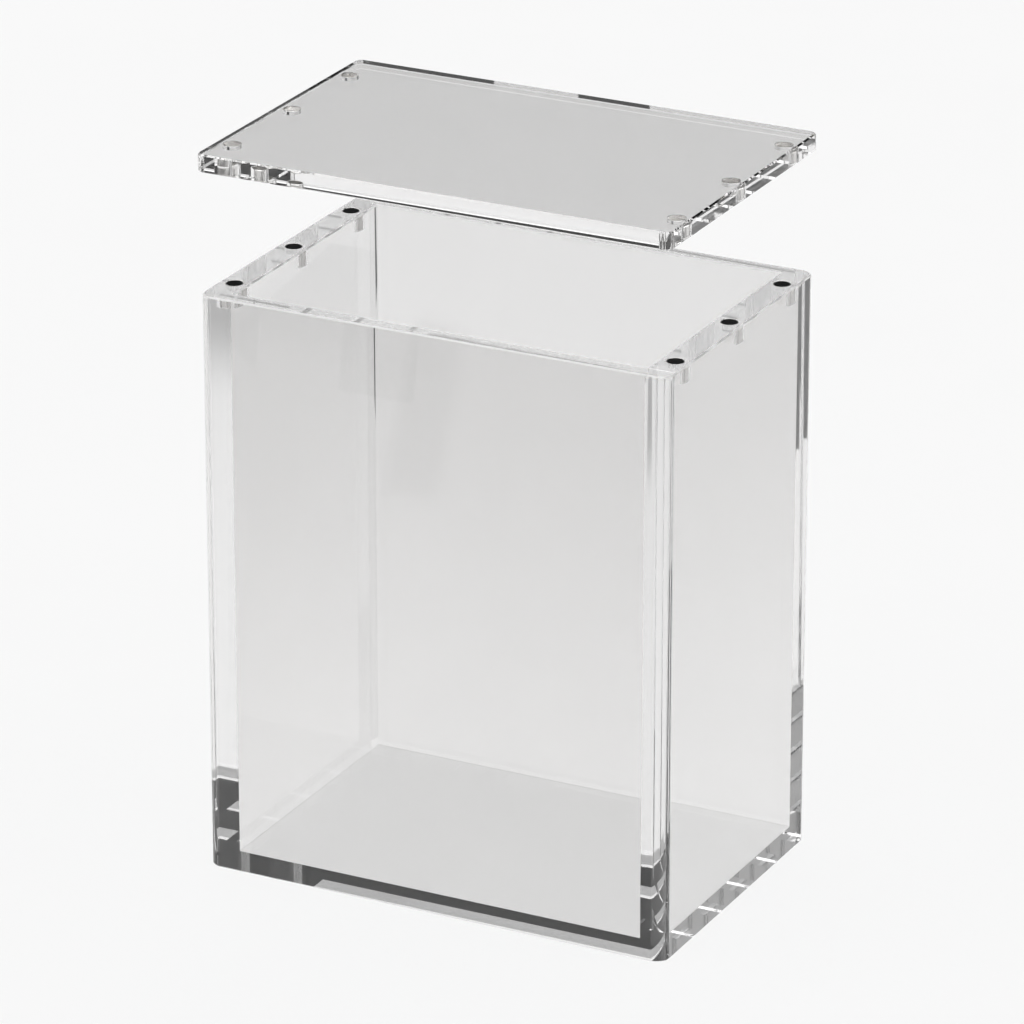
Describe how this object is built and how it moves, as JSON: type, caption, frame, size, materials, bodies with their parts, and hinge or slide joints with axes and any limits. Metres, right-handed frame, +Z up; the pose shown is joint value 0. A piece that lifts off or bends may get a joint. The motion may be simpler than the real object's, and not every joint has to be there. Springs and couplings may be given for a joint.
{
  "type": "display case",
  "caption": "Clear acrylic display case with thick glued walls and a loose flat lid held by disc magnets, shown raised, for standing collectable tins or card boxes.",
  "frame": {"origin": "middle of the underside, on the surface that the case stands on", "axes": "+Z up, the way the lid lifts; -Y towards the front pane; +X to the right, across the width"},
  "size_m": [0.165, 0.108, 0.245],
  "materials": {
    "clear_acrylic": "clear cast acrylic with flame-polished edges",
    "black_faced_magnet": "nickel-plated disc magnet with a black top face",
    "nickel_magnet": "bright nickel-plated disc magnet"
  },
  "bodies": {
    "case": {"base_plate": "clear_acrylic", "left_wall": "clear_acrylic", "right_wall": "clear_acrylic", "front_wall": "clear_acrylic", "back_wall": "clear_acrylic", "case_magnet_left_front": "black_faced_magnet", "case_magnet_left_middle": "black_faced_magnet", "case_magnet_left_back": "black_faced_magnet", "case_magnet_right_front": "black_faced_magnet", "case_magnet_right_middle": "black_faced_magnet", "case_magnet_right_back": "black_faced_magnet"},
    "lid": {"lid": "clear_acrylic", "lid_magnet_left_front": "nickel_magnet", "lid_magnet_left_middle": "nickel_magnet", "lid_magnet_left_back": "nickel_magnet", "lid_magnet_right_front": "nickel_magnet", "lid_magnet_right_middle": "nickel_magnet", "lid_magnet_right_back": "nickel_magnet"}
  },
  "joints": [
    {"name": "lid_lift", "type": "slide", "parent": "case", "child": "lid", "axis": [0, 0, 1], "range_m": [-0.0409, 0.015]}
  ]
}
